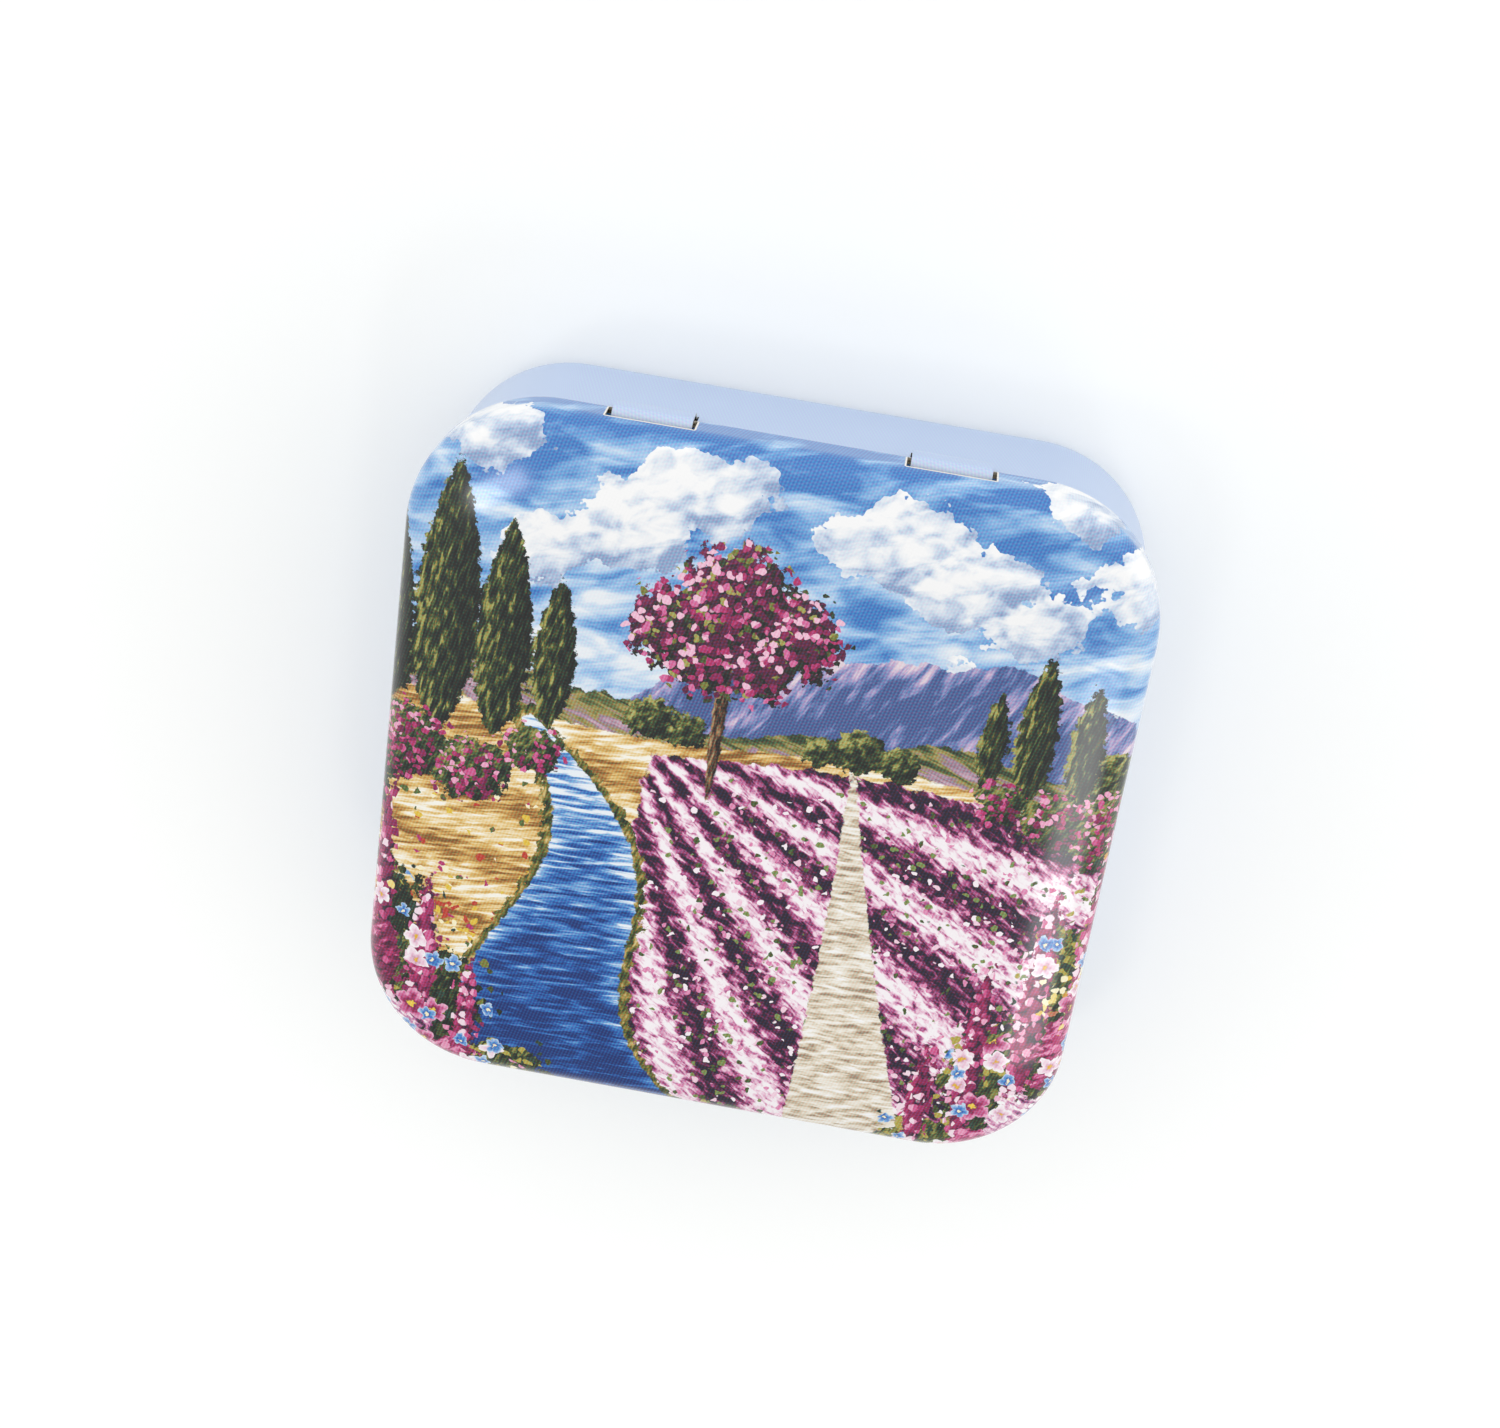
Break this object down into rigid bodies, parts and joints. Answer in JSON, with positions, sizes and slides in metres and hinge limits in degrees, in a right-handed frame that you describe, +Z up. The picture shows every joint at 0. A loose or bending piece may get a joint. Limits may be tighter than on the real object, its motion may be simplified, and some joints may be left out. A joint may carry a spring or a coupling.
{
  "type": "sewing tin",
  "caption": "Small square pocket tin with rounded corners and a domed lid hinged on curled tabs; a magnetic sheet inside holds needles and pins.",
  "frame": {"origin": "centre of the underside, on the surface that the tin stands on", "axes": "+Z up; +X to the right seen from the front; -Y the front, which opens; +Y the hinge side"},
  "size_m": [0.065, 0.0653, 0.021],
  "materials": {
    "base_lacquer": "gloss pale lilac lacquer on tinplate",
    "lid_print": "gloss varnish over a printed landscape of flower fields on tinplate",
    "magnetic_rubber": "matt flexible magnet"
  },
  "bodies": {
    "base": {"base_shell": "base_lacquer", "magnetic_sheet": "magnetic_rubber"},
    "lid": {"lid_shell": "lid_print"}
  },
  "joints": [
    {"name": "lid_hinge", "type": "hinge", "parent": "base", "child": "lid", "pos_m": [0, 0.03185, 0.01585], "axis": [-1, 0, 0], "range_deg": [0, 150]}
  ]
}
